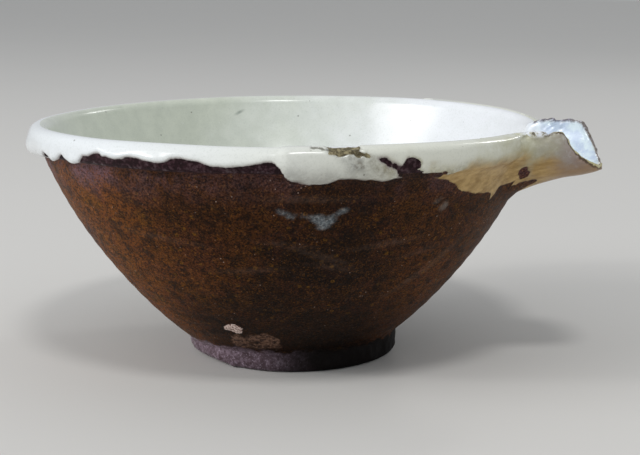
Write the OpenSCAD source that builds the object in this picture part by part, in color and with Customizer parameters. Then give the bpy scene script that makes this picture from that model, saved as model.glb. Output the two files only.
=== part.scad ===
// Spouted stoneware bowl: one thrown and fired piece, with a rolled collar,
// a turned foot ring and a half-cone spout luted on at the rim.
// Millimetres. +Z is up, +X points out along the spout. The origin is where
// the axis of the thrown body meets the plane that the foot rests on.

/* [Body] */
// Height from the resting plane to the crest of the lip
bowl_h = 118; // [95:1:145]
// Diameter of the circle along the crest of the lip
rim_d = 244.8; // [200:0.2:300]
// Radius of the arc that the outside of the wall follows
wall_curve_r = 227; // [180:1:280]
// Thickness of the wall
wall_t = 7; // [5:0.5:9]
// Thickness of the floor at the axis, above the recess in the foot
floor_t = 9.5; // [7:0.5:13]

/* [Lip and collar] */
// Radius of the rounded lip
lip_r = 5.2; // [4:0.1:6.5]
// Radius of the rolled lower edge of the collar
roll_r = 3.9; // [3:0.1:5]
// Height of the collar, from the crest of the lip to its underside
collar_h = 12.6; // [10:0.2:16]
// How far the collar stands out beyond the crest of the lip
collar_out = 5.1; // [4:0.1:6]

/* [Foot] */
// Outside diameter of the foot ring
foot_d = 104.6; // [86:0.2:128]
// Height at which the wall leaves the foot ring
foot_h = 10; // [8:0.5:13]
// Width of the ring that the bowl rests on
foot_ring_w = 9; // [6:0.5:13]
// Depth of the turned recess inside the ring
foot_recess = 7.5; // [4:0.5:10]
// Bevel along both lower edges of the ring
foot_bevel = 1; // [0.4:0.1:2]
// How far the ring sits off the axis of the body
foot_shift = 2; // [0:0.5:3]
// Direction of that shift, turned from the spout
foot_shift_angle = 20; // [0:5:355]

/* [Spout] */
// How far the tip reaches out beyond the crest of the lip
spout_reach = 33.6; // [26:0.2:42]
// Outside radius of the half cone where it meets the crest of the lip
spout_root_r = 28.5; // [24:0.5:34]
// Outside radius of the half cone at its tip
spout_tip_r = 19; // [15:0.1:23]
// Thickness of the spout where it meets the rim
spout_root_t = 4.8; // [4:0.1:6]
// Thickness of the spout at its tip
spout_tip_t = 2.7; // [2:0.1:4]
// How far the wings of the spout end below the crest of the lip
spout_drop = 0.6; // [0.3:0.1:3]
// How far the upper corners of the mouth lie behind its lower lip
mouth_setback = 13; // [4:0.5:18]
// Radius of the hollow curve that the mouth is trimmed to, seen from the side
mouth_curve_r = 42; // [24:1:90]
// Turn of the mouth, which leaves the wing on the +Y side longer
mouth_skew = 4; // [-6:1:6]

/* [Damage] */
// Direction of the chip in the lip, turned from the spout
chip_angle = -60; // [-180:5:180]
// Length of the chip along the lip
chip_w = 16; // [6:1:24]
// Depth of the chip below the crest
chip_depth = 1.4; // [0.6:0.1:2.5]

/* [Hidden] */
$fn = 180;

glaze_brown = [0.16, 0.11, 0.09];
rim_r = rim_d / 2;
foot_r = foot_d / 2;
// Overrun of cutting shapes past the faces that they cut
over = 20;
// How far the lip rolls in over the inside of the wall
lip_bead = 0.2;

// Centre line of the rounded lip in the section, as [radius, height]
lip_c = [rim_r, bowl_h - lip_r];
// Centre of the rolled lower edge of the collar
roll_c = [rim_r + collar_out - roll_r, bowl_h - collar_h + roll_r];
// Corner of the section where the wall leaves the foot
foot_c = [foot_r, foot_h];

// The point that lies at ra from a and at rb from b, to the left of a to b
function circles_meet(a, ra, b, rb) =
    let (
        d = norm(b - a),
        along = (ra * ra - rb * rb + d * d) / (2 * d),
        aside = sqrt(ra * ra - along * along),
        unit = (b - a) / d
    )
    a + along * unit + aside * [-unit.y, unit.x];

// Both faces of the wall are arcs about one centre. The outer one starts at
// the foot, and the inner one runs into the lip.
inner_curve_r = wall_curve_r - wall_t;
wall_c = circles_meet(foot_c, wall_curve_r, lip_c, inner_curve_r + lip_r - lip_bead);
// Height at which the wall runs into the lip
lip_join_z = lip_c.y + lip_r * (wall_c.y - lip_c.y) / norm(wall_c - lip_c);

// The floor is part of a ball that the inner arc runs into
floor_z = foot_recess + floor_t;
ball_sum = inner_curve_r + floor_z;
ball_z = (ball_sum * ball_sum - wall_c * wall_c) / (2 * (ball_sum - wall_c.y));
ball_c = [0, ball_z];
ball_r = ball_z - floor_z;
ball_join = wall_c + inner_curve_r * (ball_c - wall_c) / norm(ball_c - wall_c);

// The body reaches this far below foot_h, to meet the ring on every side
foot_blend = foot_shift + 1;

// Ends of the spout along X, from inside the bowl to past the mouth
spout_start = rim_r - spout_root_r;
spout_tip = rim_r + spout_reach;
outer_slope = (spout_tip_r - spout_root_r) / spout_reach;
inner_slope = outer_slope + (spout_root_t - spout_tip_t) / spout_reach;
// Ends of the mouth seen from the side, as [x, height]
mouth_low = [spout_tip, bowl_h - spout_tip_r];
mouth_high = [spout_tip - mouth_setback, bowl_h - spout_drop];
mouth_c = circles_meet(mouth_high, mouth_curve_r, mouth_low, mouth_curve_r);

chip_r = (chip_w * chip_w / 4 + chip_depth * chip_depth) / (2 * chip_depth);

// Part of the section plane on the outer side of the axis, from z0 to z1
module band(z0, z1) {
    translate([0, z0])
        square([2 * rim_r, z1 - z0]);
}

// Half section of the space inside the bowl, up to height top
module hollow_section(top) {
    intersection() {
        translate(ball_c)
            circle(ball_r);
        band(floor_z - over, ball_join.y);
    }
    intersection() {
        translate(wall_c)
            circle(inner_curve_r);
        band(ball_join.y, top);
    }
}

// Half section of the thrown body: floor, wall, lip and collar
module body_section() {
    difference() {
        intersection() {
            translate(wall_c)
                circle(wall_curve_r);
            band(foot_h - foot_blend, lip_join_z);
        }
        hollow_section(lip_join_z + over);
    }
    translate(lip_c)
        circle(lip_r);
    translate(roll_c)
        circle(roll_r);
}

// Solid foot with its lower outer edge bevelled, reaching up into the floor
module foot_blank() {
    rotate_extrude()
        polygon([
            [0, 0],
            [foot_r - foot_bevel, 0],
            [foot_r, foot_bevel],
            [foot_r, foot_h + foot_blend],
            [0, foot_h + foot_blend]
        ]);
}

// Turned recess in the foot, with the ring's lower inner edge bevelled
module foot_recess_cut() {
    recess_r = foot_r - foot_ring_w;
    rotate_extrude()
        polygon([
            [0, -over],
            [recess_r + foot_bevel + over, -over],
            [recess_r, foot_bevel],
            [recess_r, foot_recess],
            [0, foot_recess]
        ]);
}

// Cone about a level axis at the height of the crest. It has radius root_r
// at the rim, changes by slope for each millimetre outwards, and ends at end_x.
module level_cone(root_r, slope, end_x) {
    translate([spout_start, 0, bowl_h])
        rotate([0, 90, 0])
            cylinder(
                h = end_x - spout_start,
                r1 = root_r - slope * (rim_r - spout_start),
                r2 = root_r + slope * (end_x - rim_r)
            );
}

// Roller that the mouth is trimmed to, lying across the spout
module mouth_trim() {
    translate([spout_tip, 0, 0])
        rotate([0, 0, -mouth_skew])
            translate([mouth_c.x - spout_tip, 2 * spout_root_r, mouth_c.y])
                rotate([90, 0, 0])
                    cylinder(r = mouth_curve_r, h = 4 * spout_root_r);
}

// Outside of the spout, cut level just under the crest and clear of the hollow
module spout_blank() {
    difference() {
        level_cone(spout_root_r, outer_slope, spout_tip + 1);
        mouth_trim();
        translate([0, -2 * rim_r, bowl_h - spout_drop])
            cube(4 * rim_r);
        rotate_extrude()
            hollow_section(bowl_h + over);
    }
}

// Channel through the rim and along the spout
module spout_channel() {
    level_cone(spout_root_r - spout_root_t, inner_slope, spout_tip + over / 4);
}

// Shallow scallop lost from the crest of the lip
module lip_chip() {
    rotate([0, 0, chip_angle])
        translate([rim_r + lip_r / 4, 0, bowl_h + chip_r - chip_depth])
            sphere(chip_r);
}

module bowl() {
    color(glaze_brown)
        difference() {
            union() {
                rotate_extrude()
                    body_section();
                rotate([0, 0, foot_shift_angle])
                    translate([foot_shift, 0, 0])
                        foot_blank();
                spout_blank();
            }
            rotate([0, 0, foot_shift_angle])
                translate([foot_shift, 0, 0])
                    foot_recess_cut();
            spout_channel();
            lip_chip();
        }
}

bowl();
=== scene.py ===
# Looks of the spouted stoneware bowl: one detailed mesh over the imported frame,
# its glazes, and a plain stage. The mesh is worked out in millimetres, in the
# frame's own axes: +Z up, +X out along the spout, 0 on the resting plane.
import math
from functools import partial, partialmethod, reduce

import bpy
import numpy as np
from mathutils import Matrix, Vector


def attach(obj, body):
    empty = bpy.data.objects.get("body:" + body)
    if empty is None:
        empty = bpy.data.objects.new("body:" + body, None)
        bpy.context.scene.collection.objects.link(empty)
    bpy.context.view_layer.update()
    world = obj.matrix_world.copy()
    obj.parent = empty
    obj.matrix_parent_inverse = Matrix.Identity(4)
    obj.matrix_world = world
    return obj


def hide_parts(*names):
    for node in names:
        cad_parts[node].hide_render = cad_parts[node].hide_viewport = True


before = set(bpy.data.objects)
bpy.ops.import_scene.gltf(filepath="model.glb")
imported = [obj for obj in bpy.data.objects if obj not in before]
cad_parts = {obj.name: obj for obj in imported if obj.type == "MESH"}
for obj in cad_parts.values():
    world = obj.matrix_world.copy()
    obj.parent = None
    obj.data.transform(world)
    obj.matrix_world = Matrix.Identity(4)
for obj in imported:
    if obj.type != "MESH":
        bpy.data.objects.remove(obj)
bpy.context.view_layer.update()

MM = 0.001
TAU = 2 * math.pi

# ---------------------------------------------------------------- sizes, mm
BOWL_H = 118.0
RIM_R = 122.4
WALL_CURVE_R = 227.0
WALL_T = 7.0
FLOOR_Z = 17.0

LIP_R = 5.2
ROLL_R = 3.9
COLLAR_H = 12.6
COLLAR_OUT = 5.1
LIP_BEAD = 0.2

FOOT_R = 52.3
FOOT_H = 10.0
FOOT_RING_W = 9.0
FOOT_RECESS = 7.5
FOOT_SHIFT = 2.0 * np.array([math.cos(math.radians(20)), math.sin(math.radians(20))])
FOOT_BLEND = 3.0

SPOUT_TIP = 156.0
SPOUT_ROOT_R = 28.5
SPOUT_TIP_R = 19.0
SPOUT_ROOT_T = 4.8
SPOUT_TIP_T = 2.7
SPOUT_DROP = 0.6
MOUTH_SETBACK = 13.0
MOUTH_CURVE_R = 42.0
MOUTH_SKEW = math.radians(4)
# The hand-cut mouth strays from its trim: further out low down and on the far side
MOUTH_LOW = 0.9
MOUTH_FAR = 1.4
UNDER_BULGE = 0.6
WING_DIP = 1.3
WING_DIP_X = 134.4
WING_BUMP = 0.9
WING_BUMP_X = 129.0
WING_RISE = 1.4

# The foot's lower edge is worn away round one side
FOOT_EDGE = 3.2
FOOT_WEAR = 6.0
FOOT_WEAR_AT = -128.0

# The rim sags a little towards the spout and away from it
RIM_SAG = 1.4

# How softly surfaces run into each other
WALL_BLEND = 1.0
LIP_BLEND = 3.0
COLLAR_BLEND = 0.8
FOOT_WALL_BLEND = 0.9
RECESS_BLEND = 1.6
RECESS_FILLET = 2.5
CHANNEL_BLEND = 0.6
WING_BLEND = 1.6
HOLLOW_BLEND = 1.5
# On each side of the spout the groove under the collar is filled: centre and half width, degrees
FILLED_AT = 43
FILLED_HALF = 27
FILLED_BLEND = 7.0
# The spout's cones end here, inside the hollow
SPOUT_FROM_X = 60


# ------------------------------------------------------------ section arcs
def circles_meet(a, ra, b, rb):
    """The point at ra from a and rb from b, to the left of a to b."""
    a, b = np.array(a, float), np.array(b, float)
    d = np.linalg.norm(b - a)
    along = (ra * ra - rb * rb + d * d) / (2 * d)
    aside = math.sqrt(ra * ra - along * along)
    way = (b - a) / d
    return a + along * way + aside * np.array([-way[1], way[0]])


LIP_C = np.array([RIM_R, BOWL_H - LIP_R])
ROLL_C = np.array([RIM_R + COLLAR_OUT - ROLL_R, BOWL_H - COLLAR_H + ROLL_R])
INNER_CURVE_R = WALL_CURVE_R - WALL_T
WALL_C = circles_meet((FOOT_R, FOOT_H), WALL_CURVE_R, LIP_C, INNER_CURVE_R + LIP_R - LIP_BEAD)
LIP_JOIN_Z = LIP_C[1] + LIP_R * (WALL_C[1] - LIP_C[1]) / np.linalg.norm(WALL_C - LIP_C)
LIP_TANGENT = math.degrees(math.atan2(WALL_C[1] - LIP_C[1], WALL_C[0] - LIP_C[0]))
BALL_SUM = INNER_CURVE_R + FLOOR_Z
BALL_Z = (BALL_SUM**2 - WALL_C @ WALL_C) / (2 * (BALL_SUM - WALL_C[1]))
BALL_R = BALL_Z - FLOOR_Z
BALL_JOIN_Z = WALL_C[1] + INNER_CURVE_R * (BALL_Z - WALL_C[1]) / math.hypot(
    WALL_C[0], BALL_Z - WALL_C[1]
)

OUTER_SLOPE = (SPOUT_TIP_R - SPOUT_ROOT_R) / (SPOUT_TIP - RIM_R)
INNER_SLOPE = OUTER_SLOPE + (SPOUT_ROOT_T - SPOUT_TIP_T) / (SPOUT_TIP - RIM_R)
WING_Z = BOWL_H - SPOUT_DROP
MOUTH_C = circles_meet(
    (SPOUT_TIP - MOUTH_SETBACK, WING_Z),
    MOUTH_CURVE_R,
    (SPOUT_TIP, BOWL_H - SPOUT_TIP_R),
    MOUTH_CURVE_R,
)


def wall_radius(z):
    """Radius of the wall's outside at height z."""
    return WALL_C[0] + np.sqrt(WALL_CURVE_R**2 - (z - WALL_C[1]) ** 2)


def hollow_radius(z):
    """Radius of the inside of the bowl at height z."""
    ball = np.sqrt(np.maximum(BALL_R**2 - (z - BALL_Z) ** 2, 0))
    arc = WALL_C[0] + np.sqrt(INNER_CURVE_R**2 - (z - WALL_C[1]) ** 2)
    return np.where(z < BALL_JOIN_Z, ball, arc)


def cone_outer(x):
    """Outside radius of the spout's half cone at distance x from the axis."""
    return SPOUT_ROOT_R + OUTER_SLOPE * (x - RIM_R)


def cone_inner(x):
    """Radius of the spout's channel at distance x from the axis."""
    return SPOUT_ROOT_R - SPOUT_ROOT_T + INNER_SLOPE * (x - RIM_R)


# ---------------------------------------------------------- distance field
def smooth_min(a, b, k):
    h = np.clip(0.5 + 0.5 * (b - a) / k, 0, 1)
    return b + (a - b) * h - k * h * (1 - h)


def smooth_max(a, b, k):
    return -smooth_min(-a, -b, k)


def ramp(x, low, high):
    """0 below low, 1 above high and smooth between."""
    t = np.clip((x - low) / (high - low), 0, 1)
    return t * t * (3 - 2 * t)


def fall(x, low, high):
    """1 below low, 0 above high and smooth between."""
    return 1 - ramp(x, low, high)


def bell(x, middle, width):
    """1 at middle, and dying away over width on both sides."""
    return np.exp(-(((x - middle) / width) ** 2))


def mouth_push(y, z):
    """How far the hand-cut mouth lies outside its trim."""
    low = fall(z, 98, 108)
    middle = bell(z, 109, 5)
    return MOUTH_LOW * low + MOUTH_FAR * middle * ramp(y, -8, 16)


def mouth_trim(x, y, z):
    """Distance beyond the surface that trims the spout's mouth."""
    x = x - mouth_push(y, z)
    turned = (
        SPOUT_TIP
        + math.cos(MOUTH_SKEW) * (x - SPOUT_TIP)
        - math.sin(MOUTH_SKEW) * y
    )
    return MOUTH_CURVE_R - np.hypot(turned - MOUTH_C[0], z - MOUTH_C[1])


def form(p):
    """Signed distance, in mm, from points p to the fired clay with its coat of glaze."""
    x, y, z = p[:, 0], p[:, 1], p[:, 2]
    r = np.hypot(x, y)
    to_curve = np.hypot(r - WALL_C[0], z - WALL_C[1])
    ball = np.hypot(r, z - BALL_Z) - BALL_R
    hollow = np.where(z < BALL_JOIN_Z, ball, to_curve - INNER_CURVE_R)
    wall = smooth_max(to_curve - WALL_CURVE_R, -hollow, WALL_BLEND)
    wall = np.maximum(wall, z - LIP_JOIN_Z)
    wall = np.maximum(wall, FOOT_H - FOOT_BLEND - z)
    to_lip = (r - LIP_C[0]) * np.where(r < LIP_C[0], LIP_R / (LIP_R - LIP_BEAD), 1)
    lip = np.hypot(to_lip, z - LIP_C[1]) - LIP_R
    roll = np.hypot(r - ROLL_C[0], z - ROLL_C[1]) - ROLL_R
    turn = np.degrees(np.arctan2(y, x))
    filled = fall(abs(abs(turn) - FILLED_AT), FILLED_HALF, FILLED_HALF + 3)
    collar_blend = COLLAR_BLEND + FILLED_BLEND * filled
    collar = smooth_min(wall, smooth_min(lip, roll, LIP_BLEND), collar_blend)
    body = np.where(to_curve < INNER_CURVE_R + WALL_T / 2, np.minimum(wall, lip), collar)

    foot_r = np.hypot(x - FOOT_SHIFT[0], y - FOOT_SHIFT[1])
    worn = bell(turn, FOOT_WEAR_AT, 26)
    foot = smooth_max(foot_r - FOOT_R, -z, FOOT_EDGE + FOOT_WEAR * worn)
    foot = np.maximum(foot, z - FOOT_H - FOOT_BLEND)
    body = smooth_min(body, foot, FOOT_WALL_BLEND)
    recess = smooth_max(foot_r - (FOOT_R - FOOT_RING_W), z - FOOT_RECESS, RECESS_FILLET)
    body = smooth_max(body, -recess, RECESS_BLEND)

    from_cone_axis = np.hypot(y, z - BOWL_H)
    outer = (from_cone_axis - cone_outer(x)) / math.hypot(1, OUTER_SLOPE)
    channel = (from_cone_axis - cone_inner(x)) / math.hypot(1, INNER_SLOPE)
    channel = np.maximum(channel, SPOUT_FROM_X - x)
    under = ramp(x, 138, 148) * fall(abs(y), 8, 18) * fall(z, 98, 108)
    outer = outer - UNDER_BULGE * under
    spout = smooth_max(outer, -channel, CHANNEL_BLEND)
    spout = smooth_max(spout, mouth_trim(x, y, z), 1.2 + 1.4 * fall(z, 99, 105))
    dip = WING_DIP * bell(x, WING_DIP_X, 2.0)
    dip -= WING_BUMP * bell(x, WING_BUMP_X, 3.2)
    dip *= fall(y, -5, 5)
    rise = WING_RISE * ramp(y, 5, 15) * ramp(x, 116, 122)
    spout = smooth_max(spout, z - WING_Z + dip - rise, WING_BLEND)
    spout = smooth_max(spout, -hollow, HOLLOW_BLEND)
    spout = np.maximum(spout, SPOUT_FROM_X - x)
    near_rim = fall(abs(z - BOWL_H), 0, 8)
    past_wall = ramp(to_curve - INNER_CURVE_R, 1, 6)
    body = smooth_min(body, spout, 1.0 + (7.0 - 5.4 * near_rim) * past_wall)
    return smooth_max(body, -channel, 2.6 - 1.9 * ramp(x, 126, 140))


def gradient(p):
    """Gradient of form() at points p, from four samples around each."""
    e = 0.02
    corners = np.array([[1, -1, -1], [-1, -1, 1], [-1, 1, -1], [1, 1, 1]], float)
    g = sum(c * form(p + e * c)[:, None] for c in corners)
    return g / (4 * e)


def unit(v):
    return v / np.maximum(np.linalg.norm(v, axis=-1, keepdims=True), 1e-9)


def settle(p, rounds):
    """Moves points p onto the surface of form()."""
    for _ in range(rounds):
        g = gradient(p)
        step = form(p) / np.maximum((g * g).sum(1), 0.2)
        p = p - np.clip(step, -2, 2)[:, None] * g
    return p


# ------------------------------------------------------------------- sheet
# The mesh is a stack of closed rings. They run from the middle of the foot's
# underside, up the outside, over the crest of the lip and down the inside.
# Each ring's points are shared out the same way, so that its columns line up.
RIM_COLUMNS = 768
SPOUT_COLUMNS = 112
COLLAR_ROWS = 40
LIP_ROWS = 24
WALL_ROWS = 54
HOLLOW_ROWS = 26
COLLAR_FROM_Z = 100.0
LIP_TO_Z = 98.0
# Half the gap that the spout takes out of the rim, seen from the axis
OUTER_GAP = math.radians(13.1)
CREST_GAP = math.radians(12.8)
INNER_GAP = math.radians(11.9)
# Even steps from 0 to 1 along the spout
SPOUT_WAY = np.linspace(0, 1, 40)
# Rings of the foot's recess and of the hollow's floor: radius and number of points
RECESS_RINGS = [(4, 24), (9, 48), (15, 96), (21, 96), (27, 96), (33, 192), (38, 192)]
FLOOR_RINGS = [(38, 192), (33, 192), (28, 96), (23, 96), (18, 96), (13, 48), (8, 48), (4, 24)]
FLOOR_FROM_Z = 26.0
# Evening out the columns: its centre, how far it is whole and where it ends, and its rounds
RELAX_CENTRE = np.array([128, 0, 108])
RELAX_FULL = 45
RELAX_END = 70
RELAX_ROUNDS = 30


def column_angles(gap, count=RIM_COLUMNS):
    """Angle of each column: the first columns share the spout's gap, the rest the rim."""
    j = np.arange(RIM_COLUMNS)
    spout = -gap + 2 * gap * j / SPOUT_COLUMNS
    rim = gap + (TAU - 2 * gap) * (j - SPOUT_COLUMNS) / (RIM_COLUMNS - SPOUT_COLUMNS)
    return np.where(j < SPOUT_COLUMNS, spout, rim)[:: RIM_COLUMNS // count]


def turned_ring(radius, z, angles):
    """A ring about the axis; radius and z may differ from column to column."""
    return np.stack([radius * np.cos(angles), radius * np.sin(angles), z + 0 * angles], 1)


def cone_point(radius, psi, x):
    """Point on a cone of the spout; psi is 0 underneath and a right angle at a wing."""
    return np.stack([x, radius * np.sin(psi), BOWL_H - radius * np.cos(psi)], -1)


def mouth_x(psi, radius_at):
    """How far out the trimmed mouth lies, round the spout at angle psi."""
    x = np.full_like(psi, SPOUT_TIP)
    for _ in range(8):
        radius = radius_at(x)
        z = BOWL_H - radius * np.cos(psi)
        reach = MOUTH_C[0] - np.sqrt(MOUTH_CURVE_R**2 - (z - MOUTH_C[1]) ** 2)
        y = radius * np.sin(psi)
        x = reach + math.tan(MOUTH_SKEW) * y + mouth_push(y, z)
    return x


def cone_middle(x):
    return (cone_outer(x) + cone_inner(x)) / 2


def lengths_along(path):
    """How far along a path each of its points lies."""
    return np.concatenate([[0], np.cumsum(np.linalg.norm(np.diff(path, axis=0), axis=1))])


def spout_edge():
    """(psi, x) of the spout's edge at each of its columns, evenly along the edge."""
    root = RIM_R
    for _ in range(8):
        root = math.sqrt(RIM_R**2 - cone_middle(root) ** 2)
    psi = np.linspace(-math.pi / 2, math.pi / 2, 181)
    x = mouth_x(psi, cone_middle)
    psi = np.concatenate([[psi[0]] * 40, psi, [psi[-1]] * 40])
    x = np.concatenate(
        [np.linspace(root, x[0], 40, False), x, np.linspace(root, x[-1], 40, False)[::-1]]
    )
    points = cone_point(cone_middle(x), psi, x)
    length = lengths_along(points)
    even = np.linspace(0, length[-1], SPOUT_COLUMNS + 1)
    return np.interp(even, length, psi), np.interp(even, length, x)


def junction_z(angle, radius_at, cone_at, top):
    """Height at which a cone of the spout breaks out of the turned surface radius_at."""
    z = np.linspace(70, top, 600)
    radius = radius_at(z)
    clear = np.hypot(radius * math.sin(angle), BOWL_H - z) - cone_at(radius * math.cos(angle))
    inside = np.nonzero(clear < 0)[0]
    return z[inside[0]] if len(inside) else top


def collar_outline(z):
    """Radius of the outside of wall, roll and lip together, at height z."""
    reach = np.where(z < LIP_JOIN_Z, wall_radius(np.minimum(z, LIP_JOIN_Z)), 0)
    for centre, radius in ((ROLL_C, ROLL_R), (LIP_C, LIP_R)):
        up = z - centre[1]
        bulge = centre[0] + np.sqrt(np.maximum(radius**2 - up**2, 0))
        reach = np.maximum(reach, np.where(abs(up) < radius, bulge, 0))
    return reach


def arc_points(centre, radius, start, end, count):
    a = np.radians(np.linspace(start, end, count))
    return np.stack([centre[0] + radius * np.cos(a), centre[1] + radius * np.sin(a)], 1)


def outer_profile(from_z):
    """Outline of wall and collar, as [radius, z], from height from_z up to the crest."""
    z = np.linspace(from_z, ROLL_C[1] - ROLL_R - 0.4, 30)
    return np.concatenate([
        np.stack([wall_radius(z), z], 1),
        arc_points(ROLL_C, ROLL_R, -100, 0, 24),
        arc_points(LIP_C, LIP_R, 0, 90, 24),
    ])


def inner_profile(to_z):
    """Outline of the inside, as [radius, z], from the crest down to height to_z."""
    z = np.linspace(LIP_JOIN_Z, to_z, 40)
    return np.concatenate([
        arc_points(LIP_C, LIP_R, 90, LIP_TANGENT, 20),
        np.stack([hollow_radius(z), z], 1),
    ])


def spaced(path, rows):
    """Points at even steps along a path, both ends included."""
    length = lengths_along(path)
    even = np.linspace(0, length[-1], rows + 1)
    return np.stack([np.interp(even, length, path[:, k]) for k in range(3)], 1)


def revolve(profile, angle):
    r, z = profile[:, 0], profile[:, 1]
    return np.stack([r * math.cos(angle), r * math.sin(angle), z], 1)


def rim_paths(outer, inner, crest):
    """Paths up to the crest and down from it, in a column of the plain rim."""
    top = turned_ring(RIM_R, BOWL_H, crest)
    up = np.concatenate([revolve(outer_profile(COLLAR_FROM_Z), outer), top])
    down = np.concatenate([top, revolve(inner_profile(LIP_TO_Z), inner)])
    return up, down


def spout_path_up(angle, psi, x, edge):
    """Path up the wall and the outside of the spout to its edge, and its first height."""
    z = junction_z(angle, collar_outline, cone_outer, WING_Z)
    start = min(COLLAR_FROM_Z, z - 4)
    profile = outer_profile(start)
    path = revolve(profile[profile[:, 1] <= z], angle)
    from_psi = math.atan2(path[-1, 1], BOWL_H - path[-1, 2])
    psis = from_psi + (psi - from_psi) * SPOUT_WAY
    xs = path[-1, 0] + (x - path[-1, 0]) * SPOUT_WAY
    path = np.concatenate([path, cone_point(cone_outer(xs), psis, xs), edge])
    in_collar = collar_outline(path[:, 2]) / np.hypot(path[:, 0], path[:, 1])
    path[:, :2] *= np.maximum(in_collar, 1)[:, None]
    return path, start


def spout_path_down(angle, psi, x, edge):
    """Path from the spout's edge down its channel into the hollow, and its last height."""
    z = junction_z(angle, hollow_radius, cone_inner, WING_Z)
    end = min(LIP_TO_Z, z - 4)
    zs = np.linspace(z, end, 20)
    hollow = revolve(np.stack([hollow_radius(zs), zs], 1), angle)
    to_psi = math.atan2(hollow[0, 1], BOWL_H - hollow[0, 2])
    psis = psi + (to_psi - psi) * SPOUT_WAY
    xs = x + (hollow[0, 0] - x) * SPOUT_WAY
    return np.concatenate([edge, cone_point(cone_inner(xs), psis, xs), hollow]), end


def collar_rings():
    """Rings from under the collar to the crest, and from the crest down inside the lip."""
    edge_psi, edge_x = spout_edge()
    outer, inner = column_angles(OUTER_GAP), column_angles(INNER_GAP)
    crest = column_angles(CREST_GAP)
    up, down = [], []
    start_z = np.full(RIM_COLUMNS, COLLAR_FROM_Z)
    end_z = np.full(RIM_COLUMNS, LIP_TO_Z)
    for j in range(RIM_COLUMNS):
        if j > SPOUT_COLUMNS:
            path_up, path_down = rim_paths(outer[j], inner[j], crest[j : j + 1])
        else:
            psi, x = edge_psi[j], edge_x[j]
            edge = cone_point(cone_middle(x), psi, x)[None]
            path_up, start_z[j] = spout_path_up(outer[j], psi, x, edge)
            path_down, end_z[j] = spout_path_down(inner[j], psi, x, edge)
        up.append(spaced(path_up, COLLAR_ROWS))
        down.append(spaced(path_down, LIP_ROWS))
    up, down = np.array(up), np.array(down)
    rings = [up[:, k] for k in range(COLLAR_ROWS + 1)]
    rings += [down[:, k] for k in range(1, LIP_ROWS + 1)]
    return rings, start_z, end_z


def foot_rings():
    """Rings of the foot, from the middle of its recess to where the wall leaves it."""
    recess_r = FOOT_R - FOOT_RING_W
    rings = [np.array([[0, 0, FOOT_RECESS]])]
    for radius, count in RECESS_RINGS:
        rings.append(turned_ring(radius, FOOT_RECESS, column_angles(OUTER_GAP, count)))
    angles = column_angles(OUTER_GAP, RIM_COLUMNS // 2)
    for z in np.linspace(FOOT_RECESS - 0.5, 0.7, 5):
        rings.append(turned_ring(recess_r, z, angles))
    for radius in np.linspace(recess_r + 0.7, FOOT_R - 0.8, 6):
        rings.append(turned_ring(radius, 0, angles))
    for z in np.linspace(0.6, FOOT_H - 0.4, 9):
        rings.append(turned_ring(FOOT_R, z, angles))
    for ring in rings:
        ring[:, :2] += FOOT_SHIFT
    return rings


def wall_rings(top_z):
    """Rings of the wall, from the foot up to the height top_z of each column."""
    angles = column_angles(OUTER_GAP, RIM_COLUMNS // 2)
    low = math.asin((FOOT_H + 1.2 - WALL_C[1]) / WALL_CURVE_R)
    high = np.arcsin((top_z[::2] - WALL_C[1]) / WALL_CURVE_R)
    rings = []
    for share in np.arange(WALL_ROWS) / WALL_ROWS:
        turn = low + (high - low) * share
        radius = WALL_C[0] + WALL_CURVE_R * np.cos(turn)
        rings.append(turned_ring(radius, WALL_C[1] + WALL_CURVE_R * np.sin(turn), angles))
    return rings


def hollow_rings(top_z):
    """Rings of the inside, from below the lip to the middle of the floor."""
    angles = column_angles(INNER_GAP, RIM_COLUMNS // 2)
    rings = []
    for share in np.arange(1, HOLLOW_ROWS + 1) / HOLLOW_ROWS:
        z = top_z[::2] + (FLOOR_FROM_Z - top_z[::2]) * (0.6 * share + 0.4 * share**0.5)
        z = np.maximum(z, FLOOR_FROM_Z)
        rings.append(turned_ring(hollow_radius(z), z, angles))
    for radius, count in FLOOR_RINGS:
        z = BALL_Z - math.sqrt(BALL_R**2 - radius**2)
        rings.append(turned_ring(radius, z, column_angles(INNER_GAP, count)))
    rings.append(np.array([[0, 0, FLOOR_Z]]))
    return rings


def stitch(rings):
    """Faces between each ring and the next; a ring may have half or twice the points."""
    quads, tris = [], []
    start = 0
    for a, b in zip(rings, rings[1:]):
        na, nb = len(a), len(b)
        sa, sb = start, start + na
        start = sb
        fewer = min(na, nb)
        i = np.arange(fewer if fewer > 1 else max(na, nb))
        j = (i + 1) % len(i)
        if na == nb:
            quads.append(np.stack([sa + i, sa + j, sb + j, sb + i], 1))
            continue
        if na == 1:
            new = [(sa + 0 * i, sb + j, sb + i)]
        elif nb == 1:
            new = [(sa + i, sa + j, sb + 0 * i)]
        elif nb == 2 * na:
            middle, end = sb + 2 * i + 1, sb + (2 * i + 2) % nb
            new = [(sa + i, middle, sb + 2 * i), (sa + i, sa + j, middle), (sa + j, end, middle)]
        else:
            middle, end = sa + 2 * i + 1, sa + (2 * i + 2) % na
            new = [(sa + 2 * i, middle, sb + i), (middle, sb + j, sb + i), (middle, end, sb + j)]
        tris += [np.stack(corners, 1) for corners in new]
    return np.concatenate(quads), np.concatenate(tris)


def edges_of(quads, tris):
    pairs = [quads[:, [k, (k + 1) % 4]] for k in range(4)]
    pairs += [tris[:, [k, (k + 1) % 3]] for k in range(3)]
    pairs = np.sort(np.concatenate(pairs), 1)
    return np.unique(pairs, axis=0)


def neighbour_mean(p, edges):
    a, b = edges[:, 0], edges[:, 1]
    count = np.bincount(a, minlength=len(p)) + np.bincount(b, minlength=len(p))
    total = [
        np.bincount(a, p[b, k], len(p)) + np.bincount(b, p[a, k], len(p)) for k in range(3)
    ]
    return np.stack(total, 1) / count[:, None]


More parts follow.
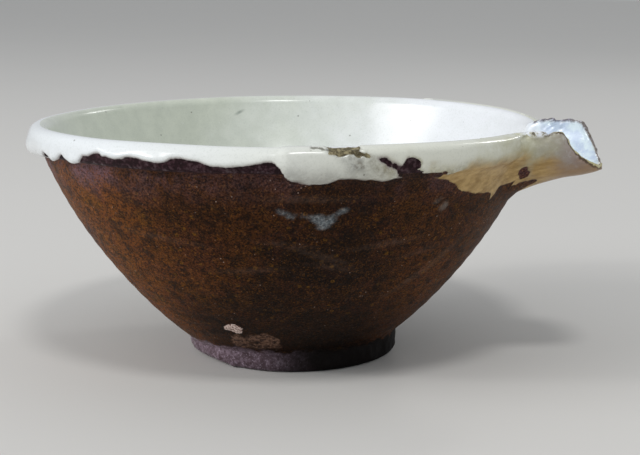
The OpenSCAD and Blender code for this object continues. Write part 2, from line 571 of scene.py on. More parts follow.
def relaxed(p, edges, near, rounds):
    """Evens out the columns round the spout, keeping every point on the form."""
    moving = near > 0
    share = 0.6 * near[moving, None]
    for _ in range(rounds):
        normal = unit(gradient(p[moving]))
        shift = (neighbour_mean(p, edges) - p)[moving]
        shift -= (shift * normal).sum(1, keepdims=True) * normal
        p[moving] = settle(p[moving] + share * shift, 1)
    p[moving] = settle(p[moving], 4)
    return p


def make_sheet():
    """Points on the form, which are outside, the faces, and the crest along the spout."""
    collar, start_z, end_z = collar_rings()
    rings = foot_rings() + wall_rings(start_z)
    rings += collar
    crest_row = len(rings) - 1 - LIP_ROWS
    rings += hollow_rings(end_z)
    rows = np.repeat(np.arange(len(rings)), [len(r) for r in rings])
    quads, tris = stitch(rings)
    edges = edges_of(quads, tris)
    p = settle(np.concatenate(rings), 7)
    from_spout = np.linalg.norm(p - RELAX_CENTRE, axis=1)
    near = np.where(rows == crest_row, 0, fall(from_spout, RELAX_FULL, RELAX_END))
    p = relaxed(p, edges, near, RELAX_ROUNDS)
    crest = p[rows == crest_row][: SPOUT_COLUMNS + 1]
    return p, rows <= crest_row, quads, tris, crest


# ------------------------------------------------------------------ glazes
# Angles are degrees round the rim from the spout, heights are mm above the foot.
# Lower edge of the thick white glaze
WHITE_EDGE = [
    (-180, 107), (-170, 110), (-160, 108), (-152, 106), (-146, 104.5), (-138, 104), (-133.4, 104.6),
    (-131, 109), (-129.2, 107.4), (-126.6, 105), (-124.6, 106.2), (-122.4, 109.6), (-120.8, 107.6),
    (-118.6, 105.6), (-116.6, 106.4), (-115, 110), (-110.4, 112.6), (-106, 110.2), (-103, 111.2),
    (-99.6, 111.2), (-97, 110), (-92.5, 112.2), (-87.6, 111.6), (-81.8, 109), (-76, 111),
    (-74, 112.4), (-72.8, 111.8), (-71.6, 108.6), (-70.6, 105), (-69.4, 103), (-66, 102),
    (-62.5, 102.2), (-60.5, 103.6), (-57, 103.8), (-51, 102.6), (-47, 103.6), (-41, 105),
    (-38, 104), (-33, 104), (-28, 104), (-18, 105), (-14, 107), (-10, 105), (0, 103), (10, 105),
    (14, 108), (20, 107), (28, 105), (44, 104), (60, 102), (75, 105), (82, 110), (100, 111), (118, 109),
    (135, 111), (150, 108), (165, 110), (180, 107),
]
# Lower edge of the thin tan glaze, which shows only where it hangs below the white
THIN_EDGE = [
    (-180, 119), (-48, 119), (-44, 106), (-39, 102), (-35, 101), (-32, 98), (-29, 94),
    (-24, 92), (-19, 92), (-16, 90), (-14, 93), (-10, 95), (-9, 91), (-7, 93), (-5, 92),
    (-3, 88), (4, 88), (8, 93), (14, 92), (20, 89), (27, 94), (34, 100), (40, 103),
    (46, 119), (180, 119),
]
# Runs of glaze: angle, half width in mm, drop in mm
WHITE_RUNS = [
    (-152, 3, 3), (-172, 2, 2),
    (62, 3, 3), (96, 2.5, 3), (121, 2, 4), (146, 3, 3), (167, 2, 2),
]
THIN_RUNS = [(-16, 1.2, 4), (21, 3, 4)]
# Spots where the glaze drew back and left the clay bare:
# angle, height, half length, half width (mm) and tilt (degrees)
CRAWLED = [
    (-46, 108, 5.2, 4, 82), (-45.2, 104, 4.4, 3.6, 20), (-40.8, 104.4, 5.8, 1.6, 6),
    (-38.4, 104.2, 2.2, 1.3, 40), (-52.2, 112.8, 1.8, 1, -15), (-50.8, 111.3, 2, 1.1, -50),
    (-49.6, 109.8, 2.4, 1.1, -40), (-48.4, 107.8, 2.4, 1.4, -50), (33, 106, 3.4, 1.6, 25),
    (36, 103, 1.5, 1.1, 0), (72, 107.6, 4, 2.4, -24), (74.6, 104, 3, 2.6, 10),
    (139, 110.6, 4.4, 1.8, 34), (142.6, 108.6, 2.2, 1.6, -20), (-163, 110.6, 3.4, 1.8, 24),
]
# The same under the spout, by place in mm: x, y, height and radius
SPOUT_SPOTS = [
    (123.2, -20, 97.8, 2.4), (122.6, -21.6, 99.8, 2.5), (115.6, -16.4, 91, 3.4),
    (113.6, -18.4, 89.4, 2.8), (121, -12.6, 92, 3), (124.6, -11.4, 92.8, 2.5),
    (119, -15.6, 93.6, 1.6), (118, 9, 90, 4), (124, 17, 96, 2.2),
]
# Splashes of white on the dark wall: same measures as the crawled spots
SPLASHES = [
    (-71.4, 89.2, 2.6, 1.6, -24), (-69.8, 87.4, 2.6, 1.6, -30), (-66.6, 87.4, 3, 1, -12),
    (-63.4, 85.8, 5.2, 2.4, -14), (-62.2, 82.6, 3.6, 2.2, 14), (-60.8, 85.4, 2.8, 2.4, 30),
    (-58.8, 89, 4, 1.5, 24), (-35.8, 91.4, 2.6, 1.2, 14), (-33.3, 88.3, 2.9, 2.4, 40),
    (104, 88, 3, 1.6, 10), (108, 84, 1.6, 2.4, 0), (173, 92, 2.4, 1.6, 30),
]
# Number of waves that a ripple adds up
RIPPLE_WAVES = 16
# Where the bowl stuck to its neighbour in the kiln: whitish scar and rough patch
SCAR = [(-92, 26, 4.8, 2.8, 10), (-91, 24.4, 3.6, 2.4, 0)]
ROUGH_PATCH = [
    (-93, 16.4, 6.2, 4.4, 30), (-79.5, 17.8, 6, 4.8, -30), (-86, 14.6, 5, 2.4, 0),
    (-86, 19.4, 4.4, 2.2, 0), (60, 20, 6, 4, 10),
]
# Small lumps of glaze: angle, height, half length, half height and thickness
LUMPS = [
    (-146, 108, 14, 4.6, 1.3), (-126.2, 107.6, 3.4, 2.8, 1.1), (-118.4, 107.8, 3.6, 2.8, 1.1),
    (-105, 112, 6, 2, 0.5), (-97, 111.8, 4, 2, 0.5), (-82, 111.2, 7, 2, 0.6),
    (-113, 4, 2.4, 1.8, 0.9), (-103, 1.8, 2.2, 1.6, 0.8), (62, 104.6, 4, 3, 0.9),
    (121, 107, 3, 3, 0.8), (-172, 107, 3, 3, 0.7),
]
# Places where the second coat lies thin enough to grey
GREYED = [(-57.6, 111.6, 7, 3.6, -16), (-52.5, 110.6, 10, 3.2, -16)]
FLECK = [(124.2, 109.4, 3.2, 0.9, -24)]
CHIP_ANGLE, CHIP_HALF, CHIP_FLOOR = -59.4, 6.9, 114.9
CRACK_Z, CRACK_FROM, CRACK_TO = 0.1172, -66.2, -61.4
CHIP_TAIL = [(-57, 115.2, 2.8, 1.4, -20), (-55, 114.2, 2.4, 0.9, -30)]
# Faint pale streaks in the iron glaze: same measures
STREAKS = [
    (-27, 57, 14, 1.6, 42), (-24, 64, 10, 1.2, 38), (-33, 50, 9, 1.4, 40), (-34, 66, 8, 1, 10),
    (-62, 67, 9, 1.2, -18), (-58, 61, 7, 1, -10), (-70, 73, 8, 0.9, -6), (-104, 74, 15, 0.8, -5),
    (-66, 95, 14, 1.2, 0), (-45, 72, 12, 1.2, 6), (-80, 60, 10, 1, 4), (30, 60, 12, 1.5, -30),
    (80, 70, 14, 1.3, 8), (120, 52, 11, 1.2, -6), (160, 76, 14, 1, 5), (-150, 62, 12, 1, 6),
]
# Painted light round the wall: how much redder and lighter the iron glaze is made where light from the
# left and warm reflected light fall
PAINTED_LIGHT_ROUND_WALL = [
    (-180, 0.7), (-150, 0.85), (-135, 1), (-118, 0.78), (-104, 0.46), (-90, 0.24), (-75, 0.1),
    (-55, 0), (-42, 0.06), (-30, 0.3), (-18, 0.5), (0, 0.55), (30, 0.3), (60, 0.1),
    (95, 0.35), (130, 0.2), (180, 0.7),
]


def ripples(p, size, seed):
    """Smooth seeded noise of about unit spread, with bumps about size mm across."""
    rng = np.random.default_rng(seed)
    total = np.zeros(len(p))
    for _ in range(RIPPLE_WAVES):
        way = unit(rng.normal(size=3)) * TAU / (2 * size) * rng.uniform(0.6, 1.5)
        total += np.sin(p @ way + rng.uniform(0, TAU))
    return total / math.sqrt(RIPPLE_WAVES / 2)


def edge_height(angle, knots, runs):
    a, z = np.array(knots, float).T
    height = np.interp(angle, a, z)
    for at, half, drop in runs:
        gap = (angle - at) * math.radians(RIM_R + COLLAR_OUT)
        height = height - drop * bell(gap, 0, half)
    return height


def spots(angle, z, r, places):
    """Signed distance, positive inside, to the nearest of some tilted oval spots."""
    best = np.full(len(z), -99.0)
    for at, height, length, width, tilt in places:
        along = np.radians(angle - at) * r
        up = z - height
        c, s = math.cos(math.radians(tilt)), math.sin(math.radians(tilt))
        a, b = (along * c + up * s) / length, (up * c - along * s) / width
        best = np.maximum(best, (1 - np.hypot(a, b)) * min(length, width))
    return best


def bead(depth, width):
    """Height of a glaze coat, from 0 at its edge to 1 at width inside, rounded."""
    t = np.clip(depth / width, 0, 1)
    return np.sqrt(1 - (1 - t) ** 2)


def glaze_fields(p, outside):
    """Distances, in mm, that say which glaze each point carries."""
    angle = np.degrees(np.arctan2(p[:, 1], p[:, 0]))
    z = p[:, 2]
    r = np.hypot(p[:, 0], p[:, 1])
    wobble = 0.3 * ripples(p, 6, 11) + 0.12 * ripples(p, 2.5, 12)
    white = z - edge_height(angle, WHITE_EDGE, WHITE_RUNS) + wobble
    thin = z - edge_height(angle, THIN_EDGE, THIN_RUNS) + wobble
    spots_here = partial(spots, angle, z, r)
    bare = spots_here(CRAWLED)
    for x0, y0, z0, radius in SPOUT_SPOTS:
        bare = np.maximum(bare, radius - np.linalg.norm(p - np.array([x0, y0, z0]), axis=1))
    bare = np.where(outside, bare + 0.3 * ripples(p, 2.5, 13), -99)
    # Over the thin glaze the white fades slowly at its own edge, but not round a bare spot
    gain = 1 + 14 * ramp(thin, 0, 1)
    white = np.minimum(np.where(outside, white, 60), -bare * gain)
    thin = np.minimum(np.where(outside, thin, -60), -bare)
    along = (angle - CHIP_ANGLE) * math.radians(RIM_R)
    floor = CHIP_FLOOR + 0.008 * along**2 + 0.4 * ripples(p, 3, 15)
    chip = np.minimum(CHIP_HALF - abs(along), z - floor)
    chip = np.maximum(chip, spots_here(CHIP_TAIL)) + 0.3 * ripples(p, 2, 16)
    # Painted light: the iron glaze is made redder and lighter round the wall where the light falls
    painted_warmth = np.interp(angle, *np.array(PAINTED_LIGHT_ROUND_WALL, float).T) + 0.05 * ripples(p, 40, 17)
    # Where the white is thin: over the second dip's lower half, and towards the spout
    overlap = ramp(angle, -72, -70) * fall(angle, -47, -44)
    low = fall(z + 1.2 * ripples(p, 8, 30), 103, 113)
    towards = fall(abs(angle), 38, 47)
    fade = fall(white + 0.8 * ripples(p, 6, 31), 0, 9)
    greyed = ramp(spots_here(GREYED) + 0.5 * ripples(p, 4, 32), -1.5, 3)
    veil = overlap * (0.1 + 0.45 * low + 0.8 * greyed)
    veil = np.maximum(veil, towards * fade)
    veil = np.maximum(veil, 0.7 - ramp(-np.maximum(bare, chip), 0, 1.3))
    marks = {
        "streak": spots_here(STREAKS),
        "splash": spots_here(SPLASHES),
        "scar": spots_here(SCAR) + 0.22 * ripples(p, 3.2, 18),
        "patch": spots_here(ROUGH_PATCH) + 0.5 * ripples(p, 4, 19),
    }
    return {name: np.where(outside, mark, -60) for name, mark in marks.items()} | {
        "veil": np.clip(np.where(outside, veil, 0), 0, 1),
        "white": white,
        "thin": thin,
        "chip": np.where(outside, np.minimum(chip, 3), -20),
        "collar": np.where(outside, z - BOWL_H + COLLAR_H + 0.15 * ripples(p, 9, 33), 20),
        "fleck": np.where(outside, -60, spots_here(FLECK)),
        "painted_warmth": np.clip(painted_warmth, 0, 1),
        "outside": np.where(outside, 1.0, 0.0),
    }


def displaced(p, outside, fields):
    """Adds the thickness of the glazes, the throwing rings and the wear to the form."""
    normal = unit(gradient(p))
    x, z = p[:, 0], p[:, 2]
    r = np.hypot(x, p[:, 1])
    on_spout = ramp(x, 118, 127) * ramp(z, 84, 94)
    over_thin = ramp(fields["thin"], 0.5, 4)
    white = bead(fields["white"], 2.0 + 7.0 * over_thin)
    pooled = bell(fields["white"], 2, 1.7) * (1 - over_thin)
    coat = 1.0 * white + 0.12 * ripples(p, 12, 21) * bead(fields["white"], 8)
    coat += 0.3 * pooled * ramp(z, 100, 105)
    coat = np.where(outside, coat - 0.9 * ramp(z, 101, 105), 0) * (1 - on_spout)
    coat *= fall(z, 115, 117.5)
    bare_of_white = fall(fields["white"], -0.5, 2.5)
    coat += np.where(outside, 0.25 * bead(fields["thin"], 1.2) * bare_of_white, 0)
    turn = np.degrees(np.arctan2(p[:, 1], x))
    for at, height, length, half, thick in LUMPS:
        along = np.radians(turn - at) * r / length
        lump = np.exp(-(along**2) - ((z - height) / half) ** 2)
        coat += np.where(outside, thick * lump, 0) * np.where(z > 60, bead(fields["white"], 2), 1)
    coat += np.where(outside, 0.5 * bead(fields["splash"], 1.8), 0)
    coat += 0.5 * bead(fields["scar"], 1.2) * (1 + 0.5 * ripples(p, 1.6, 20))
    coat += 0.25 * bead(fields["patch"], 1.5) * ripples(p, 2.2, 29)
    rings = np.sin(TAU * z / 6.4 + 0.6 * ripples(p, 60, 22)) * ramp(z, 14, 24)
    rings *= 0.09 * fall(z, 98, 104)
    inner_rings = np.where(outside, 0, 0.07 * np.sin(TAU * r / 8.5) * ramp(r, 8, 20))
    inner_rings *= fall(z, 90, 105)
    coat += np.where(outside, rings, inner_rings)
    coat += 0.14 * ripples(p, 40, 23)
    chip = fields["chip"]
    coat -= 0.9 * bead(chip, 2.0) + 0.2 * ripples(p, 1.8, 24) * ramp(chip, 0, 1)
    worn = on_spout * fall(fields["edge"], 0.5, 4)
    coat += worn * (0.16 * ripples(p, 2.0, 25) + 0.25 * ripples(p, 4, 26))
    broken = ramp(x, 121, 126) * fall(x, 133, 137) * ramp(z, 112, 116)
    coat += broken * (0.25 * ripples(p, 1.5, 34) + 0.2 * ripples(p, 3, 35))
    foot = fall(z, 8, 11) * ramp(z, 0.3, 2) * ramp(r, 48, 50)
    coat += foot * (0.25 * ripples(p, 9, 27) + 0.1 * ripples(p, 3, 28))
    p = p + normal * coat[:, None]
    angle = np.arctan2(p[:, 1], p[:, 0])
    sag = RIM_SAG * (1 + np.cos(2 * angle)) / 2 * ramp(z, 40, 118)
    p[:, 2] = np.maximum(p[:, 2] - sag * (1 - on_spout), 0)
    p[:, :2] *= (1 + 0.0014 * np.cos(3 * angle + 1) * ramp(z, 20, 110))[:, None]
    return p


def linked(name, data):
    """A new object of the scene."""
    made = bpy.data.objects.new(name, data)
    bpy.context.scene.collection.objects.link(made)
    return made


def from_edge(p, crest):
    """Distance of each point near the spout from the spout's edge."""
    near = p[:, 0] > 118
    gaps = np.linalg.norm(p[near][:, None] - crest[None], axis=2).min(1)
    distance = np.full(len(p), 40.0)
    distance[near] = gaps
    return distance


def make_bowl():
    p, outside, quads, tris, crest = make_sheet()
    fields = glaze_fields(p, outside)
    fields["edge"] = from_edge(p, crest)
    p = displaced(p, outside, fields)
    mesh = bpy.data.meshes.new("bowl_surface")
    faces = [tuple(f) for f in quads.tolist()] + [tuple(f) for f in tris.tolist()]
    mesh.from_pydata((p * MM).tolist(), [], faces)
    mesh.validate()
    mesh.shade_smooth()
    for name, values in fields.items():
        layer = mesh.attributes.new(name, "FLOAT", "POINT")
        layer.data.foreach_set("value", np.clip(values, -12, 60).astype(np.float32))
    return linked("bowl_surface", mesh)


# --------------------------------------------------------------- materials
def rgb(code):
    """Linear colour of an sRGB hex code."""
    parts = [int(code[k : k + 2], 16) / 255 for k in (0, 2, 4)]
    return tuple(v / 12.92 if v <= 0.04045 else ((v + 0.055) / 1.055) ** 2.4 for v in parts)


class Nodes:
    """Short ways to add and link the nodes of one material."""

    def __init__(self, name):
        self.material = bpy.data.materials.new(name)
        self.material.use_nodes = True
        self.tree = self.material.node_tree
        self.tree.nodes.clear()
        self.coords = self.add("TexCoord", {}).outputs["Object"]

    def put(self, socket, value):
        """Links or sets a socket; a string is an sRGB hex code."""
        if isinstance(value, bpy.types.NodeSocket):
            self.tree.links.new(value, socket)
        elif isinstance(value, str):
            socket.default_value = (*rgb(value), 1)
        else:
            socket.default_value = value

    def add(self, kind, inputs, **settings):
        """Adds a node; inputs maps the names or numbers of its sockets to values."""
        node = self.tree.nodes.new("ShaderNode" + kind)
        for name, value in settings.items():
            setattr(node, name, value)
        for key, value in inputs.items():
            self.put(node.inputs[key], value)
        return node

    def math(self, operation, *values, clamp=False):
        inputs = dict(enumerate(values))
        return self.add("Math", inputs, operation=operation, use_clamp=clamp).outputs[0]

    plus = partialmethod(math, "ADD")
    minus = partialmethod(math, "SUBTRACT")
    most = partialmethod(math, "MAXIMUM")

    def times(self, *factors):
        return reduce(partial(self.math, "MULTIPLY"), factors)

    def field(self, name):
        return self.add("Attribute", {}, attribute_name=name).outputs["Fac"]

    def mapped(self, scale, rotation=(0, 0, 0)):
        inputs = {"Vector": self.coords, "Rotation": rotation, "Scale": scale}
        return self.add("Mapping", inputs).outputs[0]

    def noise(self, size_mm, detail=3.0, rough=0.5, warp=0.0, vector=None):
        """Noise from 0 to 1, with features about size_mm across."""
        inputs = {"Vector": vector or self.coords, "Scale": 1000 / size_mm}
        inputs.update({"Detail": detail, "Roughness": rough, "Distortion": warp})
        return self.add("TexNoise", inputs).outputs["Fac"]

    def dots(self, size_mm, low, high):
        """1 in round dots about size_mm apart, and 0 between them."""
        cells = self.add("TexVoronoi", {"Vector": self.coords, "Scale": 1000 / size_mm})
        return self.step(cells.outputs["Distance"], low, high, 1, 0)

    def step(self, value, low, high, to_low=0.0, to_high=1.0):
        """to_low below low, to_high above high, and smooth between."""
        names = ("Value", "From Min", "From Max", "To Min", "To Max")
        inputs = dict(zip(names, (value, low, high, to_low, to_high)))
        return self.add("MapRange", inputs, interpolation_type="SMOOTHSTEP").outputs[0]

    def strayed(self, value, noise, reach, low=0.2, high=0.8):
        """Moves value by up to reach either way, as noise goes from low to high."""
        return self.plus(value, self.step(noise, low, high, -reach, reach))

    def mix(self, share, a, b):
        """Mixes two colours."""
        return self.add("Mix", {0: share, 6: a, 7: b}, data_type="RGBA").outputs[2]

    def layered(self, colour, *layers):
        """Lays colours over a colour, each where the step after it says."""
        for over, *step in layers:
            colour = self.mix(self.step(*step), colour, over)
        return colour

    def blend(self, share, a, b):
        """Mixes two numbers."""
        return self.add("Mix", {0: share, 2: a, 3: b}).outputs[0]

    def bump(self, height, distance_mm, normal=None):
        inputs = {"Strength": 1.0, "Distance": distance_mm * MM, "Height": height}
        if normal:
            inputs["Normal"] = normal
        return self.add("Bump", inputs).outputs[0]

    def surface(self, colour, roughness, normal, **others):
        inputs = {"Base Color": colour, "Roughness": roughness, "Normal": normal}
        inputs.update({name.replace("_", " "): value for name, value in others.items()})
        shader = self.add("BsdfPrincipled", inputs)
        self.add("OutputMaterial", {"Surface": shader.outputs[0]})
        return self.material


class Pottery(Nodes):
    """The bowl's one material, with the noises and places that its glazes share."""

    def __init__(self):
        super().__init__("glazed_stoneware_looks")
        self.x, self.y, self.z = self.add("SeparateXYZ", {0: self.coords}).outputs
        self.grains = self.noise(0.9, 2, 0.6)
        self.fine = self.noise(1.0, 4, 0.75)
        self.small = self.noise(2.2, 4, 0.65)
        self.middle = self.noise(9, 4, 0.6)
        self.soft = self.noise(11, 3, 0.5)
        self.broad = self.noise(45, 3, 0.6)
        self.inside = self.step(self.field("outside"), 0.4, 0.6, 1, 0)
        self.drift = self.strayed(self.x, self.soft, 0.006)
        self.at_collar = self.step(self.field("collar"), -0.1, 0.4)
        foot_top = self.strayed(self.z, self.middle, 0.0026)
        self.at_foot = self.step(foot_top, 0.0098, 0.0124, 1, 0)
        # Painted light and shade on the foot: this mask is 1 on the lit side and 0 on the shaded side
        foot_side = self.minus(self.x, self.step(self.broad, 0, 1, -0.02, 0.02))
        self.lit_side_of_foot = self.step(foot_side, -0.015, 0.03, 1, 0)


def iron_glaze(n):
    """Dark glaze of the wall, black to red-brown; the lighter red-brown round one side is painted
    light.
    """
    # Painted light: the red-brown, the olive and the rust follow the painted warmth round the wall
    painted_warmth = n.plus(n.field("painted_warmth"), n.step(n.broad, 0.3, 0.7, -0.12, 0.12), clamp=True)
    patchy = n.noise(16, 4, 0.6)
    iron = n.mix(painted_warmth, "1c0b02", "864c1a")
    iron = n.layered(iron, (n.mix(painted_warmth, "2e140e", "6e3a2a"), patchy, 0.42, 0.68, 0, 0.5))
    olive = n.times(n.step(n.noise(13, 3, 0.6, 0.5), 0.52, 0.68), painted_warmth, 0.6)
    brushed = n.noise(24, 4, 0.6, vector=n.mapped((0.5, 0.5, 3.2)))
    iron = n.layered(
        n.mix(olive, iron, "644206"),
        ("48240a", brushed, 0.5, 0.75, 0, 0.22),
        ("100501", n.noise(5.5, 3, 0.6), 0.38, 0.52, 0.65, 0),
    )
    gold = n.times(n.dots(5.5, 0.12, 0.26), n.step(patchy, 0.4, 0.6), 0.4)
    iron = n.mix(gold, iron, "8e6214")
    return iron_lights(n, iron_flecks(n, iron, painted_warmth), painted_warmth, patchy)


def iron_flecks(n, iron, painted_warmth):
    """Adds the dark grain, the rusty and light flecks, and the pits."""
    iron = n.layered(
        iron, ("0a0402", n.small, 0.30, 0.55, 0.7, 0), ("080301", n.grains, 0.38, 0.56, 0.8, 0)
    )
    uneven = n.step(n.middle, 0.35, 0.65, 0.2, 1)
    rust = n.times(n.step(n.fine, 0.50, 0.68), uneven, n.blend(painted_warmth, 0.42, 0.6))
    iron = n.mix(rust, iron, "8c5814")
    sparks = n.times(n.step(n.grains, 0.64, 0.76), n.step(n.small, 0.4, 0.6, 0.3, 1), 0.5)
    iron = n.mix(sparks, iron, "ae7a3a")
    pits = n.times(n.dots(3.4, 0.06, 0.12), n.step(n.middle, 0.5, 0.6), 0.7)
    return n.mix(pits, iron, "b0988a")


def iron_lights(n, iron, painted_warmth, patchy):
    """Adds the haze under the collar, the dark low down and the pale streaks."""
    haze = n.times(
        n.step(n.z, 0.086, 0.105),
        n.step(patchy, 0.35, 0.62, 0.15, 1),
        n.step(n.fine, 0.42, 0.56, 0.2, 1),
        n.blend(painted_warmth, 0.1, 1.0),
    )
    iron = n.mix(haze, iron, "765a62")
    # Darker towards the bottom, and most where the painted light round the wall is least
    low = n.times(n.step(n.z, 0.012, 0.056, 0.85, 0), n.minus(1.0, painted_warmth))
    iron = n.mix(low, iron, "0a0503")
    streak = n.step(n.field("streak"), -1.6, 1.4, 0, 0.2)
    streak = n.times(streak, n.step(n.small, 0.3, 0.6, 0.2, 1))
    return n.mix(streak, iron, "7e6658")


def collar_clay(n):
    """Bare clay in the groove of the collar, with pale flecks that are painted highlights."""
    return n.layered(
        n.mix(n.middle, "1a0c12", "4a2c34"),
        ("0f0707", n.small, 0.42, 0.58, 0.7, 0),
        # Painted highlights: pale flecks on the bare clay
        ("80666e", n.fine, 0.6, 0.75, 0, 0.35),
    )


def foot_clay(n):
    """Bare clay of the foot, with painted light on one side, painted shade near black on the other, and
    pale flecks that are painted highlights.
    """
    clay = n.layered(
        n.mix(n.middle, "463438", "a08a9a"),
        ("3a2826", n.small, 0.42, 0.62, 0.6, 0),
        # Painted highlights: pale flecks on the lit clay
        ("c4b2c2", n.fine, 0.52, 0.72, 0, 0.8),
    )
    # Painted shade: near black on the shaded side of the foot
    return n.mix(n.lit_side_of_foot, "0c0706", clay)


def spout_mauve(n):
    """Grey-mauve glaze on the spout's side, creamier towards the bowl."""
    mauve = n.layered(
        n.mix(n.step(n.soft, 0.3, 0.7), "948e8a", "b0aca4"),
        ("947c74", n.x, 0.136, 0.150, 0, 0.8),
        ("c2c2c0", n.small, 0.5, 0.75, 0, 0.4),
        ("6a5c4c", n.fine, 0.3, 0.45, 0.4, 0),
    )
    cream = n.mix(n.step(n.small, 0.4, 0.7), "b6b494", "c6c4a8")
    return n.layered(cream, (mauve, n.drift, 0.118, 0.146))


def tan_glaze(n, mauve, edge_tone):
    """Thin glaze that ran from the spout: tan low down, mauve on the spout's side."""
    runny = n.noise(5, 4, 0.6, vector=n.mapped((0.22, 1, 1.6), (0, math.radians(40), 0)))
    tan = n.layered(
        n.mix(n.step(runny, 0.25, 0.75), "967742", "c8a86e"),
        ("8a6a4c", n.small, 0.55, 0.75, 0, 0.3),
        ("9e826c", n.drift, 0.126, 0.140, 0, 0.7),
    )
    high = n.strayed(n.z, n.soft, 0.007)
    on_spout = n.times(n.step(n.x, 0.116, 0.130), n.step(high, 0.096, 0.109))
    return n.mix(edge_tone, n.mix(on_spout, tan, mauve), "4a3424")


def white_inside(n, side):
    """White glaze of the hollow, bluer in the spout, with a greener pool on the floor, and painted
    shade on one side.
    """
    in_spout = n.mix(n.step(n.noise(7, 4, 0.6), 0.38, 0.62), "bccade", "d6e4ea")
    in_spout = n.layered(in_spout, ("f0f2f4", n.small, 0.58, 0.7, 0, 0.5))
    return n.layered(
        # Painted shade and light: grey-green on the shaded side of the hollow, bluish white on the lit
        # side
        n.mix(side, "cbd0c0", "ebedf1"),
        (in_spout, n.x, 0.112, 0.128),
        ("b4c4ba", n.strayed(n.z, n.middle, 0.003), 0.018, 0.034, 0.5, 0),
    )


def white_outside(n, mauve):
    """White glaze of the collar, greyed where it lies thin."""
    thin = n.layered(
        n.mix(n.step(n.x, 0.066, 0.095), "9a9a94", "b4ac86"),
        ("7c7464", n.small, 0.4, 0.65, 0, 0.5),
        ("4e4a38", n.fine, 0.56, 0.66, 0, 0.5),
    )
    white = n.mix(n.step(n.x, -0.06, 0.11), "e2e6e8", "dcddd0")
    mottled = n.step(n.noise(3.5, 4, 0.65), 0.38, 0.6, 0.55, 1.1)
    white = n.mix(n.math("MULTIPLY", n.field("veil"), mottled, clamp=True), white, thin)
    return n.layered(white, (mauve, n.strayed(n.x, n.middle, 0.006), 0.106, 0.134))


def white_glaze(n, mauve, edge_tone):
    """Thick white ash glaze, greener and duller on the shaded side of the hollow as painted shade."""
    # Painted shade: side is 0 on the shaded side of the hollow and 1 on the lit side; the darker clouds
    # gather on the shaded side
    side = n.step(n.strayed(n.x, n.broad, 0.03, 0, 1), -0.10, 0.07)
    white = n.mix(n.inside, white_outside(n, mauve), white_inside(n, side))
    cloud = n.times(n.step(n.middle, 0.3, 0.7), n.blend(side, 0.3, 0.08), n.inside)
    white = n.layered(
        n.mix(cloud, white, "a9b0a2"),
        ("eef0f0", n.small, 0.62, 0.8, 0, 0.3),
        ("8a9084", n.grains, 0.3, 0.5, 0.12, 0),
    )
    pin = n.times(n.dots(9, 0.04, 0.07), n.step(n.middle, 0.45, 0.5), 0.6)
    white = n.mix(edge_tone, n.mix(pin, white, "5c5a4c"), "8f8480")
    return n.layered(white, ("5f6b62", n.field("fleck"), -0.4, 0.8, 0, 0.6))


def near_edge(n, edge, far):
    """Share of the thin dark line along the near side of the spout's edge."""
    outside = n.minus(n.step(far, 0, 1, 1, 0), n.inside, clamp=True)
    return n.times(n.step(edge, 0.5, 0.9), n.step(edge, 1.1, 1.7, 1, 0), n.times(outside, 0.85))


def far_edge(n, edge):
    """Share of the rough bare edge on the far side of the spout."""
    high_up = n.step(n.z, 0.108, 0.116)
    bare = n.step(edge, n.blend(high_up, 0.3, 0.9), n.blend(high_up, 1.5, 2.6), 1, 0)
    return n.times(bare, n.step(n.fine, 0.3, 0.5, n.blend(high_up, 0, 0.35), 1))


def with_spout_edge(n, colour):
    """Adds the spout's edge, a yellow line inside it and the broken wing."""
    edge = n.strayed(n.field("edge"), n.small, 0.9, 0, 1)
    far = n.step(n.y, -0.002, 0.006)
    bare = n.blend(far, near_edge(n, edge, far), far_edge(n, edge))
    rough = n.mix(n.step(n.fine, 0.4, 0.62), "2e262b", "857e8a")
    # Pale flecks on the rough far edge: partly bits of white glaze, partly painted highlights
    rough = n.layered(rough, ("cfd2da", n.small, 0.52, 0.60, 0, 0.8))
    colour = n.mix(bare, colour, n.mix(far, n.mix(n.fine, "2c2218", "5c4a30"), rough))
    yellow = n.step(edge, n.blend(n.inside, 0.5, 1.3), n.blend(n.inside, 0.9, 1.9), 1, 0)
    yellow = n.times(yellow, n.step(far, 0, 1, 0.85, 0.15), n.step(n.x, 0.136, 0.141))
    colour = n.mix(yellow, colour, "c6c08c")
    along = n.times(n.step(n.x, 0.121, 0.126), n.step(n.x, 0.132, 0.137, 1, 0))
    broken = n.times(along, n.step(n.z, 0.1145, 0.1165), n.step(far, 0, 1, 1, 0))
    colour = n.mix(n.times(broken, n.step(n.small, 0.42, 0.55)), colour, "e4e8ee")
    colour = n.mix(n.times(broken, n.step(n.small, 0.36, 0.44, 0.8, 0)), colour, "4a4036")
    return colour, bare


def with_splashes(n, colour):
    """Adds the bluish splashes on the wall."""
    splash = n.step(n.strayed(n.field("splash"), n.middle, 0.9, 0, 1), -0.7, 1.7, 0, 0.8)
    splash = n.times(splash, n.step(n.small, 0.3, 0.55, 0.45, 1))
    tone = n.mix(n.step(n.fine, 0.35, 0.65), "565e64", "98a0a4")
    return n.mix(splash, colour, n.mix(n.step(n.x, 0.07, 0.09, 0, 0.8), tone, "6e6054"))


def with_scars(n, colour):
    """Adds the rough patch, the kiln scar and the chip, and says where each is."""
    patch = n.step(n.field("patch"), -0.4, 1.0, 0, 0.8)
    tone = n.mix(n.step(n.small, 0.38, 0.62), "30201a", "80604e")
    colour = n.mix(patch, colour, n.layered(tone, ("b09080", n.fine, 0.52, 0.68, 0, 0.6)))
    scar = n.step(n.field("scar"), 0.0, 0.4)
    colour = n.mix(scar, colour, n.mix(n.step(n.fine, 0.42, 0.56), "6a4438", "ecd6cc"))
    chip = n.step(n.strayed(n.field("chip"), n.small, 0.5, 0, 1), 0.0, 0.4)
    colour = n.mix(chip, colour, n.mix(n.step(n.small, 0.4, 0.65), "4c4430", "93896a"))
    return colour, patch, scar, chip


